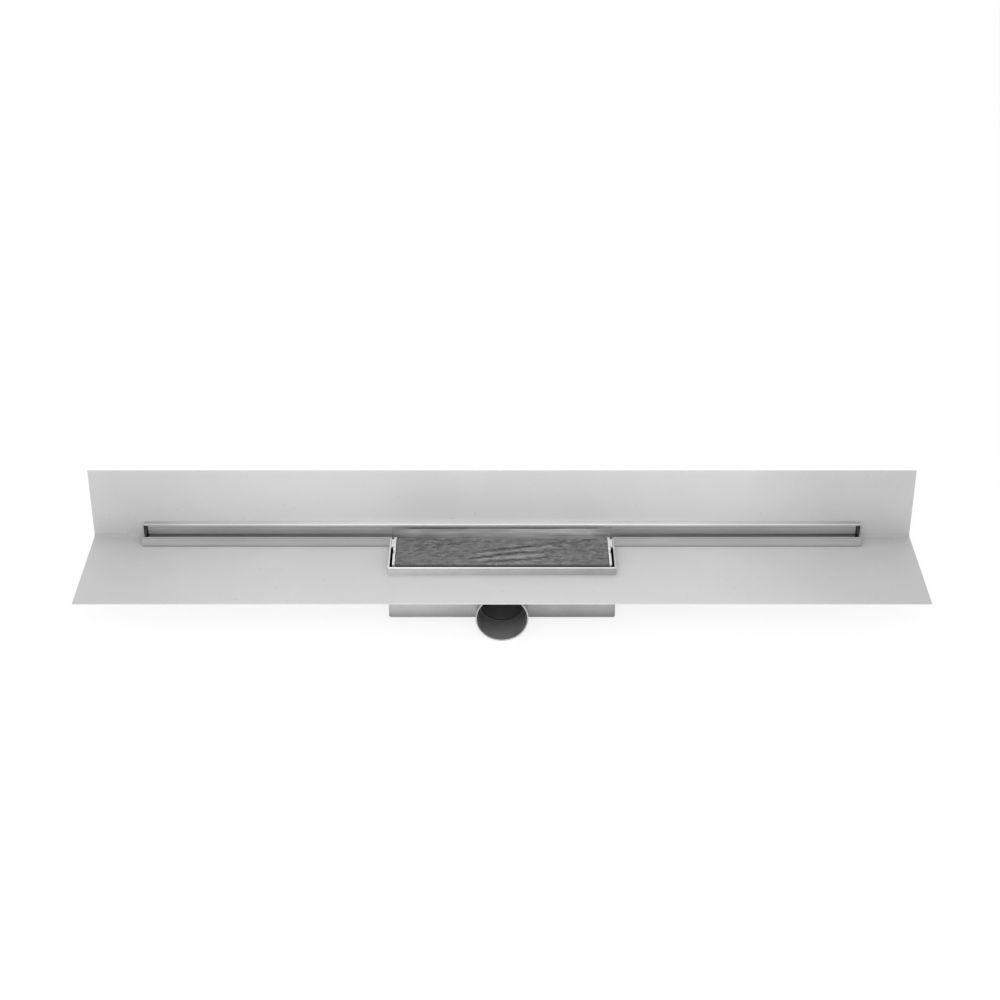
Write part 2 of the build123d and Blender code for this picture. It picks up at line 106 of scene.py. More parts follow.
# Flush joints: the flange's two sheets, and the channel's three lengths
FLANGE_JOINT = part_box("wall_flange")[0].y
CHANNEL_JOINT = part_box("channel_middle")[1].x
JOINT_HALF_WIDTH = 0.0008
JOINT_BLUR = 0.0002

# Marks of the finishes, in metres: the two edges of a band, or the places between which a mark fades in

# Painted shade on the flange: towards its ends from its middle, and near its fold
FLANGE_END_SHADE = (0.18, 0.40)
FOLD_SHADE = (0.030, 0.002)
FOLD_CREASE_SHADE = (0.0034, 0.0012)

# Painted light and shade on the channel and the plate behind it, as heights above the floor flange
LEDGE_EDGE = (0.0143, 0.0150)
BELOW_LEDGE = (0.0149, 0.0143)
LEDGE_SHADE = (0.0122, 0.0138)
PLATE_SHADE = (0.0106, 0.0140)
BACK_WALL_SHADE = (0.0031, 0.0056)
SLOT_END_SHADE_FOOT = (-0.0012, -0.0006)
LIP_TOP_SHADE = (0.0064, 0.0078)
LIP_FOOT_SHADE = (0.0020, 0.0008)
SHADE_BAND_BLUR = 0.0005
BACK_WALL_SHADE_BLUR = 0.0004

# Along the slot from its middle: painted light and shade on the channel and plate, and the plate's tone left
# to right
BACK_WALL_SHADE_ENDS = (0.09, 0.33)
SLOT_END_SHADE = (CAP_FACE - 0.0016, CAP_FACE - 0.0004)
LEDGE_HIGHLIGHT = (0.345, 0.12)
LEDGE_END_SHADE = (0.305, 0.340)
PLATE_END_SHADE = (BACK_PLATE_HALF - 0.024, BACK_PLATE_HALF - 0.003)
PLATE_SHADE_ENDS = (BACK_PLATE_HALF - 0.006, BACK_PLATE_HALF - 0.020)
PLATE_LEFT_TO_RIGHT = (-0.08, 0.02)

# Sides of the slot's sheets, across the slot
LIP_OUTSIDE = (SLOT_FRONT + 0.0007, SLOT_FRONT + 0.0001)
LIP_INSIDE = (SLOT_FRONT + 0.0001, SLOT_FRONT + 0.0007)
BACK_WALL_INSIDE = (SLOT_BACK + 0.0007, SLOT_BACK + 0.0003)
BACK_PLATE_INSIDE = (BACK_PLATE_FACE + 0.0008, BACK_PLATE_FACE + 0.0004)

# Painted light and shade on the trap box, its frame and the tray, as heights above the floor flange
FRAME_LIGHT_ABOVE_FLANGE = (0.0, 0.0006)
FRAME_RIM_HIGHLIGHT = (0.0062, 0.0074)
FRAME_INSIDE_SHADE = (-0.0080, 0.0062)
BOX_FOOT_SHADE = (-0.036, -0.047)
TRAY_RIM_HIGHLIGHT = (0.0060, 0.0070)

# Sides of the trap box, of its frame and of the joint in front of the tile
BOX_LEFT_TO_RIGHT = (-0.10, 0.10)
BOX_FRONT = (FRONT_PLATE_FACE + 0.0019, FRONT_PLATE_FACE + 0.0016)
BEHIND_FRAME_FRONT = (FRAME_INNER_FRONT - 0.0004, FRAME_INNER_FRONT - 0.0001)
BETWEEN_FRAME_SIDES = (FRAME_INNER_HALF + 0.0004, FRAME_INNER_HALF + 0.0001)
IN_FRONT_OF_TILE = (TILE_FRONT - 0.0001, TILE_FRONT - 0.0003)
WITHIN_TILE_WIDTH = (TILE_HALF + 0.0004, TILE_HALF + 0.0001)

# Outlet: the bore's edge in the plate and in the pipe, from the pipe's axis, and where its painted light and
# shade lie
PLATE_BORE = (0.0246, 0.0236)
PIPE_BORE = (0.0244, 0.0241)
BORE_BOTTOM_LIGHT = (PIPE_AXIS.z - 0.010, PIPE_AXIS.z - 0.024)
BORE_DEEP_SHADE = (FRONT_PLATE_FACE - 0.026, FRONT_PLATE_FACE - 0.002)

# Merging and shading of the sheet-metal copies
MERGE = 1e-6
FLAT_ANGLE = math.radians(0.05)
FOLD_ANGLE = math.radians(28)
EDGE_ROUND = 0.00012

# Tray: its thicker side walls with their round corners, and the top of its front wall
TRAY_HALF = TILE_HALF + 0.0019
TRAY_CORNER = 0.0010
SIDE_WALL_EXTRA = 0.0008
FRONT_WALL_DEPTH = 0.0016
FRONT_WALL_HALF = FRAME_INNER_HALF - 0.0040
FRONT_WALL_LEVEL = -0.0005
FRONT_WALL_SLACK = 0.0002
FRONT_WALL_DROP = 0.0011

# Webs that close the flange at the ends of the slot
WEB_THICKNESS = 0.0012
WEB_CORNER = 0.0040

# Worn edges: the cosines between the rounded and the flat normal at which the wear starts and is full
WORN_EDGE = (0.99, 0.8)

# Slate tile: its edges, the grid of its riven face, and the depth and grain of its ridges and flakes
TILE_CORNER = 0.0008
TILE_RIM = 0.0005
TILE_RIM_FADE = 0.003
TILE_GRID = 0.0011
TILE_CREASE = math.radians(40)
CUT_SLACK = 1e-7
RIDGE_DEPTH = 0.00032
RIDGE_GRAIN = (16, 60, 3.7)
RIDGE_OCTAVES = (1.0, 2.1, 4)
FLAKE_DEPTH = 0.00008
FLAKE_GRAIN = (160, 420, 9.1)

# Veins and mottle of the slate: metres and radians
VEIN_MIDDLE = TILE_MIDDLE + Vector((0.010, -0.005, 0.0))
VEIN_TURN = math.radians(11)
VEIN_HALF_LENGTH = 0.046
VEIN_HALF_WIDTH = 0.017
MOTTLE_ENDS = (0.030, 0.062)


# Shader nodes


def put(tree, kind, sockets=None, **settings):
    """Adds a node: settings are its own options, sockets maps an input to a value or to an output."""
    made = tree.nodes.new(kind)
    for key, value in settings.items():
        setattr(made, key, value)
    for key, value in (sockets or {}).items():
        if isinstance(value, bpy.types.NodeSocket):
            tree.links.new(value, made.inputs[key])
        else:
            made.inputs[key].default_value = value
    return made


def work_out(tree, operation, first, second, clamp=False):
    made = put(tree, "ShaderNodeMath", {0: first, 1: second}, operation=operation, use_clamp=clamp)
    return made.outputs[0]


def plus(tree, first, second, clamp=False):
    return work_out(tree, "ADD", first, second, clamp)


def minus(tree, first, second):
    return work_out(tree, "SUBTRACT", first, second)


def times(tree, first, second):
    return work_out(tree, "MULTIPLY", first, second)


def ramp(tree, value, low, high, to_low=0.0, to_high=1.0, soft=False):
    """Takes value from low..high to to_low..to_high."""
    kind = "SMOOTHSTEP" if soft else "LINEAR"
    sockets = {"Value": value, "From Min": low, "From Max": high, "To Min": to_low, "To Max": to_high}
    return put(tree, "ShaderNodeMapRange", sockets, interpolation_type=kind).outputs["Result"]


def band(tree, value, low, high, blur):
    """1 between low and high, fading over a blur on both sides."""
    rising = ramp(tree, value, low - blur, low + blur, soft=True)
    falling = ramp(tree, value, high - blur, high + blur, 1, 0, soft=True)
    return times(tree, rising, falling)


def place_of(tree, stretch=(1, 1, 1), shift=(0, 0, 0)):
    """The piece's own coordinates in metres, stretched or shifted."""
    own = put(tree, "ShaderNodeTexCoord").outputs["Object"]
    return put(tree, "ShaderNodeMapping", {"Vector": own, "Location": shift, "Scale": stretch}).outputs[0]


def place_about(tree, centre, stretch=(1, 1, 1), turn=0.0):
    """The piece's own coordinates from a centre, turned about the upright and stretched."""
    moved = place_of(tree, shift=tuple(-value for value in centre))
    turned = put(tree, "ShaderNodeMapping", {"Vector": moved, "Rotation": (0, 0, turn)}).outputs[0]
    return put(tree, "ShaderNodeMapping", {"Vector": turned, "Scale": stretch}).outputs[0]


def axes_of(tree):
    """The piece's own X, Y and Z in metres."""
    own = put(tree, "ShaderNodeTexCoord").outputs["Object"]
    return put(tree, "ShaderNodeSeparateXYZ", {0: own}).outputs


def away_from_middle(tree, axes):
    return put(tree, "ShaderNodeMath", {0: axes["X"]}, operation="ABSOLUTE").outputs[0]


def above_floor(tree, axes):
    """Height above the floor flange's upper face."""
    return minus(tree, axes["Z"], FLOOR_FACE)


def reach_of(tree, place):
    """How far a place lies from its centre."""
    return put(tree, "ShaderNodeVectorMath", {0: place}, operation="LENGTH").outputs["Value"]


def cloud(tree, scale, detail=2.0, rough=0.5, distortion=0.0, at=None, **where):
    sockets = {
        "Vector": at or place_of(tree, **where),
        "Scale": scale,
        "Detail": detail,
        "Roughness": rough,
        "Distortion": distortion,
    }
    return put(tree, "ShaderNodeTexNoise", sockets).outputs["Fac"]


def tone(tree, pattern, low, high):
    """Takes the range that most of a cloud pattern lies in to low..high."""
    return ramp(tree, pattern, 0.3, 0.7, low, high)


def vary(tree, value, pattern, by):
    """Lets a value go up and down with a cloud pattern."""
    return plus(tree, value, tone(tree, pattern, -by, by))


def add_where(tree, value, mask, amount):
    """Adds an amount to a value where the mask is 1."""
    return plus(tree, value, ramp(tree, mask, 0, 1, 0, amount))


def dim(tree, grey, mask, share):
    """Darkens grey by a share where the mask is 1."""
    return times(tree, grey, ramp(tree, mask, 0, 1, 1, 1 - share))


def clear_of_joint(tree, value, level):
    """0 along a flush joint at a level, 1 away from it."""
    joint = band(tree, value, level - JOINT_HALF_WIDTH, level + JOINT_HALF_WIDTH, JOINT_BLUR)
    return minus(tree, 1.0, joint)


def worn_edge(tree, radius):
    """0 on the faces, rising to 1 along the edges."""
    round_normal = put(tree, "ShaderNodeBevel", {"Radius": radius}, samples=4).outputs[0]
    flat_normal = put(tree, "ShaderNodeNewGeometry").outputs["Normal"]
    same = put(tree, "ShaderNodeVectorMath", {0: round_normal, 1: flat_normal}, operation="DOT_PRODUCT")
    return ramp(tree, same.outputs["Value"], *WORN_EDGE)


def bump(tree, height, depth, strength=1.0, under=None):
    sockets = {"Height": height, "Distance": depth, "Strength": strength}
    if under is not None:
        sockets["Normal"] = under
    return put(tree, "ShaderNodeBump", sockets).outputs[0]


def seen_rays(tree):
    """Two flags: rays seen straight by the camera or through clear things, and mirrored rays."""
    rays = put(tree, "ShaderNodeLightPath").outputs
    straight = plus(tree, rays["Is Camera Ray"], rays["Is Transmission Ray"], clamp=True)
    return straight, rays["Is Glossy Ray"]


def new_finish(name, metallic):
    finish = bpy.data.materials.new(name)
    finish.use_nodes = True
    shader = finish.node_tree.nodes["Principled BSDF"]
    shader.inputs["Metallic"].default_value = metallic
    return finish, finish.node_tree, shader


def wire(tree, shader, grey, roughness, normal):
    tree.links.new(grey, shader.inputs["Base Color"])
    tree.links.new(roughness, shader.inputs["Roughness"])
    tree.links.new(normal, shader.inputs["Normal"])


# Finishes


def blasted_sheet():
    """Matte stainless sheet of the flange: soft clouds, a fine blasted grain and specks, with painted shade
    at its ends and along its fold.
    """
    finish, tree, shader = new_finish("blasted_sheet", metallic=0.45)
    axes = axes_of(tree)
    broad = cloud(tree, scale=9, detail=3, rough=0.55)
    patch = cloud(tree, scale=34, detail=4, rough=0.6, stretch=(0.7, 1, 1))
    grain = cloud(tree, scale=1500, detail=1)
    speck = ramp(tree, cloud(tree, scale=210, detail=0), 0.78, 0.83)
    edge = times(tree, worn_edge(tree, radius=0.0005), clear_of_joint(tree, axes["Y"], FLANGE_JOINT))
    left_end_shade = ramp(tree, axes["X"], -FLANGE_END_SHADE[0], -FLANGE_END_SHADE[1], soft=True)
    right_end_shade = ramp(tree, axes["X"], *FLANGE_END_SHADE, soft=True)
    from_fold = reach_of(tree, place_about(tree, (0, WALL_FACE, FLOOR_FACE), stretch=(0, 1, 1)))

    grey = tone(tree, broad, 0.622, 0.652)
    grey = plus(tree, grey, ramp(tree, patch, 0.25, 0.75, -0.012, 0.012))
    grey = vary(tree, grey, grain, by=0.012)
    grey = add_where(tree, grey, speck, -0.04)
    grey = add_where(tree, grey, edge, 0.03)
    # Painted shade: the flange grows darker towards both ends, standing in for the lamp's light falling off
    grey = dim(tree, grey, left_end_shade, share=0.11)
    grey = dim(tree, grey, right_end_shade, share=0.17)
    # Painted shade near the fold, and deeper painted shade in its crease
    grey = dim(tree, grey, ramp(tree, from_fold, *FOLD_SHADE, soft=True), share=0.06)
    grey = dim(tree, grey, ramp(tree, from_fold, *FOLD_CREASE_SHADE, soft=True), share=0.20)

    roughness = tone(tree, patch, 0.60, 0.68)
    roughness = add_where(tree, roughness, edge, -0.06)
    relief = bump(tree, patch, depth=0.0006, strength=0.10)
    relief = bump(tree, grain, depth=0.00006, strength=0.35, under=relief)
    wire(tree, shader, grey, roughness, relief)
    return finish


def brushed_sheet(name="brushed_sheet", metallic=0.8, smooth=0.0):
    """Brushed stainless: fine lines along the slot, slow clouds and slightly polished edges."""
    finish, tree, shader = new_finish(name, metallic)
    lines = cloud(tree, scale=60, detail=3, rough=0.7, stretch=(0.6, 45, 45))
    strokes = cloud(tree, scale=22, detail=2, stretch=(0.5, 10, 10))
    broad = cloud(tree, scale=12, detail=2)
    clear = clear_of_joint(tree, away_from_middle(tree, axes_of(tree)), CHANNEL_JOINT)
    edge = times(tree, worn_edge(tree, radius=0.0004), clear)

    grey = ramp(tree, lines, 0.25, 0.75, 0.595, 0.685)
    grey = vary(tree, grey, strokes, by=0.03)
    grey = add_where(tree, grey, edge, 0.04)

    roughness = tone(tree, broad, 0.42 - smooth, 0.52 - smooth)
    roughness = plus(tree, roughness, tone(tree, lines, -0.04, 0.05))
    wire(tree, shader, grey, roughness, bump(tree, lines, depth=0.00004, strength=0.30))
    return finish, tree, shader, grey


def channel_sheet():
    """Brushed channel: painted highlight on the ledge, painted light inside the slot, painted shade bands
    inside it, at its ends and on the lip.
    """
    finish, tree, shader, grey = brushed_sheet("channel_sheet", smooth=0.10)
    axes = axes_of(tree)
    height = above_floor(tree, axes)
    out = away_from_middle(tree, axes)
    outside = ramp(tree, axes["Y"], *LIP_OUTSIDE)
    inside = times(tree, ramp(tree, axes["Y"], *LIP_INSIDE), ramp(tree, axes["Y"], *BACK_WALL_INSIDE))
    below_ledge = ramp(tree, height, *BELOW_LEDGE)
    on_ledge = ramp(tree, height, *LEDGE_EDGE)

    # Painted shade: a dark band low on the slot's back wall just above the lip, stronger towards the ends
    shade_band = band(tree, height, *BACK_WALL_SHADE, BACK_WALL_SHADE_BLUR)
    shade_band = times(tree, shade_band, ramp(tree, out, *BACK_WALL_SHADE_ENDS, 0.25, 0.85))
    grey = dim(tree, grey, times(tree, shade_band, inside), share=0.85)
    # Painted shade in a band under the ledge's edge on the slot's inner faces
    under_ledge_shade = band(tree, height, *LEDGE_SHADE, SHADE_BAND_BLUR)
    grey = dim(tree, grey, times(tree, under_ledge_shade, inside), share=0.22)
    # Painted light: the slot's inner faces below the ledge are made lighter
    grey = add_where(tree, grey, times(tree, inside, below_ledge), 0.10)

    # Painted shade inside the slot at its ends, next to the end caps
    slot_end_shade = times(tree, ramp(tree, out, *SLOT_END_SHADE), inside)
    slot_end_shade = times(tree, slot_end_shade, ramp(tree, height, *SLOT_END_SHADE_FOOT))
    grey = dim(tree, grey, times(tree, slot_end_shade, below_ledge), share=0.93)

    # Painted highlight along the ledge, fading towards its ends, where painted shade dulls it
    ledge_highlight = times(tree, on_ledge, ramp(tree, out, *LEDGE_HIGHLIGHT, 0.15, 1.0, soft=True))
    grey = add_where(tree, grey, ledge_highlight, 0.26)
    ledge_end_shade = times(tree, on_ledge, ramp(tree, out, *LEDGE_END_SHADE, soft=True))
    grey = dim(tree, grey, ledge_end_shade, share=0.15)

    # Painted shade along the lip's top and foot, on its outer face
    lip_rim_shade = plus(tree, ramp(tree, height, *LIP_TOP_SHADE), ramp(tree, height, *LIP_FOOT_SHADE), clamp=True)
    grey = dim(tree, grey, times(tree, lip_rim_shade, outside), share=0.38)
    tree.links.new(grey, shader.inputs["Base Color"])
    return finish


def tray_sheet():
    """Brushed tray with ground, a painted highlight on its upper edges and ears, painted shade in the joint
    in front of the tile.
    """
    finish, tree, shader, grey = brushed_sheet("tray_sheet", metallic=0.7)
    axes = axes_of(tree)
    # Painted highlight along the tray's upper edges and ears
    grey = add_where(tree, grey, ramp(tree, above_floor(tree, axes), *TRAY_RIM_HIGHLIGHT), 0.26)
    # Painted shade on the tray's front wall, in the joint in front of the tile
    in_front = ramp(tree, axes["Y"], *IN_FRONT_OF_TILE)
    within_width = ramp(tree, away_from_middle(tree, axes), *WITHIN_TILE_WIDTH)
    grey = dim(tree, grey, times(tree, in_front, within_width), share=0.85)
    tree.links.new(grey, shader.inputs["Base Color"])
    return finish


def back_plate_sheet():
    """Mill sheet behind the slot, wiped bright in streaks, with a painted shade band under the ledge's edge
    and painted shade at its ends.
    """
    finish, tree, shader = new_finish("back_plate_sheet", metallic=0.35)
    wipes = cloud(tree, scale=40, detail=4, rough=0.65, distortion=0.5, stretch=(0.30, 9, 9))
    stains = cloud(tree, scale=30, detail=3, rough=0.6, stretch=(0.8, 3, 3))
    rolled = cloud(tree, scale=70, detail=2, stretch=(1, 1, 9))
    uneven = ramp(tree, cloud(tree, scale=18, detail=2), 0.30, 0.55, 0.6, 1.0)
    axes = axes_of(tree)
    out = away_from_middle(tree, axes)
    inside = ramp(tree, axes["Y"], *BACK_PLATE_INSIDE)
    plate_end_shade = ramp(tree, out, *PLATE_END_SHADE, soft=True)
    off_end = ramp(tree, out, *PLATE_SHADE_ENDS, soft=True)

    face = tone(tree, wipes, 0.34, 0.62)
    face = plus(tree, face, tone(tree, stains, -0.12, 0.06))
    face = plus(tree, face, ramp(tree, axes["X"], *PLATE_LEFT_TO_RIGHT, -0.06, 0.04, soft=True))
    # Painted shade towards the plate's ends
    face = dim(tree, face, plate_end_shade, share=0.34)
    # Painted shade in an uneven band under the ledge's edge, fading out near the plate's ends
    shade_band = times(tree, band(tree, above_floor(tree, axes), *PLATE_SHADE, SHADE_BAND_BLUR), uneven)
    face = dim(tree, face, times(tree, shade_band, off_end), share=0.82)

    back = tone(tree, rolled, 0.52, 0.56)
    back = vary(tree, back, stains, by=0.03)
    sides = {"Factor": inside, "A": back, "B": face}
    grey = put(tree, "ShaderNodeMix", sides, data_type="FLOAT").outputs[0]

    roughness = tone(tree, wipes, 0.38, 0.52)
    relief = bump(tree, times(tree, wipes, inside), depth=0.0002, strength=0.4)
    wire(tree, shader, grey, roughness, relief)
    return finish


def mill_sheet():
    """Mill-finish stainless of the trap box: cloudy, with rolling lines and handling marks; painted
    highlight on the rim, painted light above the flange, painted shade at the foot, in the bore and inside
    the frame.
    """
    finish, tree, shader = new_finish("mill_sheet", metallic=0.8)
    broad = cloud(tree, scale=16, detail=4, rough=0.6, distortion=0.4)
    rolled = cloud(tree, scale=70, detail=2, stretch=(1, 1, 9))
    scuffs = cloud(tree, scale=55, detail=3, rough=0.75, distortion=1.2, stretch=(1, 1, 3))
    scuffs = ramp(tree, scuffs, 0.62, 0.74)
    axes = axes_of(tree)
    height = above_floor(tree, axes)
    out = away_from_middle(tree, axes)
    from_axis = reach_of(tree, place_about(tree, PIPE_AXIS, stretch=(1, 0, 1)))

    grey = tone(tree, broad, 0.50, 0.64)
    grey = vary(tree, grey, rolled, by=0.015)
    grey = add_where(tree, grey, scuffs, 0.03)
    grey = add_where(tree, grey, worn_edge(tree, radius=0.0006), 0.08)
    grey = plus(tree, grey, ramp(tree, axes["X"], *BOX_LEFT_TO_RIGHT, 0.050, -0.145, soft=True))
    # Painted light on everything above the flange, and a painted highlight on the frame's rim
    grey = add_where(tree, grey, ramp(tree, height, *FRAME_LIGHT_ABOVE_FLANGE), 0.06)
    grey = add_where(tree, grey, ramp(tree, height, *FRAME_RIM_HIGHLIGHT), 0.20)
    # Painted shade towards the box's foot
    grey = dim(tree, grey, ramp(tree, height, *BOX_FOOT_SHADE, soft=True), share=0.34)

    # Painted shade on the front plate's face inside the bore
    bore_shade = times(tree, ramp(tree, from_axis, *PLATE_BORE, soft=True), ramp(tree, axes["Y"], *BOX_FRONT))
    grey = dim(tree, grey, bore_shade, share=0.55)

    # Painted shade on the frame's inner faces, in a band around the flange's level
    behind_front = ramp(tree, axes["Y"], *BEHIND_FRAME_FRONT)
    between_sides = ramp(tree, out, *BETWEEN_FRAME_SIDES)
    frame_inside_shade = times(tree, behind_front, between_sides)
    frame_inside_shade = times(tree, frame_inside_shade, band(tree, height, *FRAME_INSIDE_SHADE, SHADE_BAND_BLUR))
    grey = dim(tree, grey, frame_inside_shade, share=0.80)

    roughness = tone(tree, broad, 0.34, 0.46)
    roughness = add_where(tree, roughness, scuffs, 0.08)
    relief = bump(tree, broad, depth=0.0008, strength=0.10)
    relief = bump(tree, rolled, depth=0.00004, strength=0.25, under=relief)
    wire(tree, shader, grey, roughness, relief)
    return finish


def drawn_tube():
    """Drawn stainless of the outlet pipe: satin and ringed round its axis, with painted light low in its
    bore and painted shade deep in it.
    """
    finish, tree, shader = new_finish("drawn_tube", metallic=0.8)
    rings = cloud(tree, scale=90, detail=3, rough=0.65, stretch=(0.25, 5, 0.25))
    broad = cloud(tree, scale=25, detail=3)
    axes = axes_of(tree)
    from_axis = reach_of(tree, place_about(tree, PIPE_AXIS, stretch=(1, 0, 1)))
    bore = ramp(tree, from_axis, *PIPE_BORE)
    lit_bottom = ramp(tree, axes["Z"], *BORE_BOTTOM_LIGHT, soft=True)
    deep_shade = ramp(tree, axes["Y"], *BORE_DEEP_SHADE, soft=True)

    grey = tone(tree, broad, 0.45, 0.54)
    grey = vary(tree, grey, rings, by=0.03)
    grey = add_where(tree, grey, worn_edge(tree, radius=0.0005), 0.05)
    # Painted light low in the bore, and painted shade deep in it
    grey = add_where(tree, grey, times(tree, bore, lit_bottom), 0.16)
    grey = dim(tree, grey, times(tree, bore, deep_shade), share=0.34)

    roughness = tone(tree, rings, 0.34, 0.44)
    wire(tree, shader, grey, roughness, bump(tree, rings, depth=0.0001, strength=0.35))
    return finish


def seal_rubber():
    """Matte black rubber of the hood's seals, with a faint bloom."""
    finish, tree, shader = new_finish("seal_rubber", metallic=0.0)
    bloom = cloud(tree, scale=120, detail=3)
    skin = cloud(tree, scale=2200, detail=1)
    grey = ramp(tree, bloom, 0.3, 0.75, 0.022, 0.045)
    roughness = tone(tree, bloom, 0.62, 0.74)
    wire(tree, shader, grey, roughness, bump(tree, skin, depth=0.00004, strength=0.4))
    return finish


def slate_mottle(tree):
    """Short flakes of the slate, stronger in patches and weaker in the tile's middle."""
    flakes = cloud(tree, scale=300, detail=4, rough=0.7, distortion=0.5, stretch=(0.45, 1.1, 1))
    patches = cloud(tree, scale=26, detail=2, stretch=(0.6, 1, 1), shift=(0.3, 0.1, 0))
    out = away_from_middle(tree, axes_of(tree))
    towards_ends = ramp(tree, out, *MOTTLE_ENDS, 0.35, 1.0, soft=True)
    patches = times(tree, ramp(tree, patches, 0.42, 0.62), towards_ends)
    strength = ramp(tree, patches, 0, 1, 0.35, 1.0)
    return times(tree, ramp(tree, flakes, 0.36, 0.64, -0.105, 0.085), strength)


def slate_veins(tree):
    """A sheaf of veins across the tile's middle: its waves, light veins, dark veins and fibres."""

    def along_veins(stretch=(1, 1, 1)):
        return place_about(tree, VEIN_MIDDLE, stretch, turn=-VEIN_TURN)

    sockets = {
        "Vector": along_veins(),
        "Scale": 29,
        "Distortion": 3.4,
        "Detail": 5,
        "Detail Scale": 2.0,
        "Detail Roughness": 0.68,
    }
    waves = put(tree, "ShaderNodeTexWave", sockets, wave_type="BANDS", bands_direction="Y").outputs["Fac"]
    threads = cloud(tree, scale=60, detail=5, rough=0.7, at=along_veins((0.35, 6.5, 0)))
    torn = cloud(tree, scale=190, detail=3, at=along_veins((0.35, 2.0, 0)))
    shares = cloud(tree, scale=34, detail=1, at=place_about(tree, VEIN_MIDDLE, stretch=(0.5, 1.6, 0)))
    shares = ramp(tree, shares, 0.40, 0.60, 0.50, 1.1)

    reach = reach_of(tree, along_veins((1 / VEIN_HALF_LENGTH, 1 / VEIN_HALF_WIDTH, 0)))
    reach = plus(tree, reach, ramp(tree, torn, 0.25, 0.75, -0.34, 0.34))
    sheaf = ramp(tree, reach, 0.98, 0.86, soft=True)
    light = times(tree, times(tree, ramp(tree, waves, 0.64, 0.76), sheaf), shares)
    dark = times(tree, ramp(tree, waves, 0.30, 0.12), sheaf)
    fibres = times(tree, ramp(tree, threads, 0.36, 0.64, -1.0, 1.0), sheaf)
    return waves, light, dark, fibres


def riven_slate():
    """Dark riven slate: layers, short flaky mottling and a sheaf of light and dark veins."""
    finish, tree, shader = new_finish("riven_slate", metallic=0.0)
    layers = cloud(tree, scale=30, detail=6, rough=0.62, distortion=0.6, stretch=(0.35, 1.5, 1))
    broad = cloud(tree, scale=11, detail=3)
    grain = cloud(tree, scale=900, detail=2)
    waves, light, dark, fibres = slate_veins(tree)

    grey = ramp(tree, layers, 0.28, 0.72, 0.118, 0.152)
    grey = vary(tree, grey, broad, by=0.012)
    grey = plus(tree, grey, slate_mottle(tree))
    grey = vary(tree, grey, grain, by=0.010)
    grey = add_where(tree, grey, light, 0.110)
    grey = add_where(tree, grey, dark, -0.060)
    grey = plus(tree, grey, ramp(tree, fibres, -1, 1, -0.040, 0.040))
    grey = add_where(tree, grey, worn_edge(tree, radius=0.0006), 0.05)

    roughness = tone(tree, layers, 0.58, 0.72)
    relief = bump(tree, layers, depth=0.0009, strength=0.35)
    relief = bump(tree, waves, depth=0.0005, strength=0.12, under=relief)
    relief = bump(tree, grain, depth=0.00010, strength=0.5, under=relief)
    wire(tree, shader, grey, roughness, relief)
    return finish


SLOT_OF = {part["node"]: part["material_slot"] for part in frame["record"]["subparts"]}

FINISHES = {
    "matte_steel": blasted_sheet(),
    "brushed_steel": brushed_sheet()[0],
    "mill_steel": mill_sheet(),
    "pipe_steel": drawn_tube(),
    "seal_rubber": seal_rubber(),
    "slate_tile": riven_slate(),
}

CHANNEL_FINISH = channel_sheet()
OWN_FINISHES = {
    "channel_left": CHANNEL_FINISH,
    "channel_right": CHANNEL_FINISH,
    "channel_middle": CHANNEL_FINISH,
    "end_cap_left": CHANNEL_FINISH,
    "end_cap_right": CHANNEL_FINISH,
    "cover_tray": tray_sheet(),
    "box_back_plate": back_plate_sheet(),
}


def give_finish(obj, node):
    """Puts a node's own finish, or else its slot's, on every material slot of a piece."""
    finish = OWN_FINISHES.get(node, FINISHES[SLOT_OF[node]])
    if not obj.material_slots:
        obj.data.materials.append(finish)
    for place in obj.material_slots:
        place.material = finish


# Pieces


def add_piece(name, form, node):
    """Makes a piece of a bmesh, gives it its node's finish and puts it in the node's place."""
    mesh = bpy.data.meshes.new(name)
    form.to_mesh(mesh)
    form.free()
    piece = bpy.data.objects.new(name, mesh)
    scene.collection.objects.link(piece)
    give_finish(piece, node)
    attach(piece, "root")
    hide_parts(node)
    return piece


def round_edges(form, edges, width, segments):
    bmesh.ops.bevel(
        form,
        geom=edges,
        offset=width,
        offset_type="OFFSET",
        segments=segments,
        profile=0.5,
        affect="EDGES",
        material=-1,
    )


def is_soft(edge, angle):
    """Whether an edge joins two faces that meet at less than an angle."""
    return len(edge.link_faces) == 2 and edge.calc_face_angle(math.pi) < angle


def shape_tray_walls(form):
    """Takes the tray's front wall down a little further and thickens its side walls outwards."""
    low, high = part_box("cover_tray")
    for vert in form.verts:
        out = abs(vert.co.x) - (TRAY_HALF - TRAY_CORNER)
        if 0 < out < TRAY_CORNER + MERGE:
            vert.co.x += math.copysign(SIDE_WALL_EXTRA * out / TRAY_CORNER, vert.co.x)
        in_front_wall = vert.co.y < low.y + FRONT_WALL_DEPTH and abs(vert.co.x) < FRONT_WALL_HALF
        if in_front_wall and abs(vert.co.z - (high.z + FRONT_WALL_LEVEL)) < FRONT_WALL_SLACK:
            vert.co.z -= FRONT_WALL_DROP


